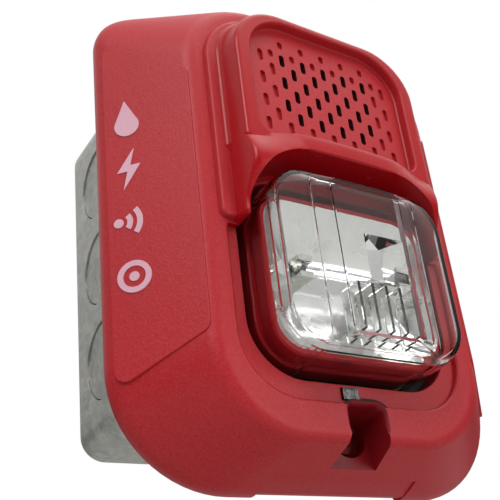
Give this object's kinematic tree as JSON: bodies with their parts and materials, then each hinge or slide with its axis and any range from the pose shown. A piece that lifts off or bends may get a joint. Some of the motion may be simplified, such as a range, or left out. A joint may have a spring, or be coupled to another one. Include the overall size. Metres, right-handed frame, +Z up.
{
  "type": "horn strobe",
  "caption": "Red wall horn strobe on a square steel wiring box: slotted horn grille and hood above a clear flash lens, hung on a mounting plate by top hinge claws and held by a captive screw.",
  "frame": {"origin": "centre of the wiring box's rear face, on the wall", "axes": "+Z up, front faces -Y, +Y into the wall"},
  "size_m": [0.119, 0.0766, 0.142],
  "materials": {
    "red_housing": "fine textured, semi-gloss",
    "pale_marks": "printed",
    "galvanised": "galvanised steel, satin",
    "slug_metal": "galvanised steel, satin",
    "zinc_screw": "zinc plated",
    "green_screw": "satin",
    "plate_plastic": "satin",
    "terminal_plastic": "satin",
    "bronze": "satin",
    "black_plastic": "matt",
    "board": "satin",
    "capacitor_sleeve": "gloss",
    "copper_winding": "satin",
    "coil_tape": "gloss",
    "ceramic": "matt",
    "clear_lens": "clear, polished",
    "black_rubber": "matt",
    "mirror_plate": "bright",
    "clear_glass": "clear",
    "orange_plastic": "satin",
    "white_plastic": "satin",
    "red_screw": "satin"
  },
  "bodies": {
    "wall_box": {"back_box": "galvanised", "knockout_slugs": "slug_metal", "ground_screw": "green_screw", "mounting_plate": "plate_plastic", "plate_screws": "zinc_screw", "terminal_block": "terminal_plastic", "terminal_clamps": "bronze", "terminal_screws": "zinc_screw", "shorting_spring": "bronze"},
    "device": {"front_housing": "red_housing", "flank_marks": "pale_marks", "rear_cover": "black_plastic", "cover_screws": "zinc_screw", "circuit_board": "board", "contact_blades": "bronze", "storage_capacitor": "capacitor_sleeve", "charge_inductor": "copper_winding", "trigger_coil": "coil_tape", "horn_chamber": "black_plastic", "diaphragm_disc": "bronze", "piezo_disc": "ceramic", "lens": "clear_lens", "lens_seal": "black_rubber", "reflector": "mirror_plate", "tube_shroud": "ceramic", "flash_tube": "clear_glass", "tube_electrodes": "zinc_screw", "candela_window": "clear_lens"},
    "candela_selector": {"candela_selector": "white_plastic"},
    "tone_selector": {"tone_selector": "orange_plastic"},
    "screw_carrier": {"screw_retainer": "black_plastic"},
    "captive_screw": {"captive_screw": "red_screw"}
  },
  "joints": [
    {"name": "device_swing", "type": "hinge", "parent": "wall_box", "child": "device", "pos_m": [0, -0.0435, 0.0632], "axis": [-1, 0, 0], "range_deg": [0, 25]},
    {"name": "selector_slide", "type": "slide", "parent": "device", "child": "candela_selector", "axis": [1, 0, 0], "range_m": [0, 0.012]},
    {"name": "tone_turn", "type": "hinge", "parent": "device", "child": "tone_selector", "pos_m": [0.026, -0.0451, -0.012], "axis": [0, 1, 0], "continuous": true},
    {"name": "screw_travel", "type": "slide", "parent": "device", "child": "screw_carrier", "axis": [0, -1, 0], "range_m": [0, 0.005]},
    {"name": "screw_turn", "type": "hinge", "parent": "screw_carrier", "child": "captive_screw", "pos_m": [0, -0.0491, -0.0585], "axis": [0, -1, 0], "range_deg": [0, 2269]}
  ],
  "couplings": [
    {"joint": "screw_turn", "follows": "screw_travel", "rad_per_m": 7913.3}
  ]
}
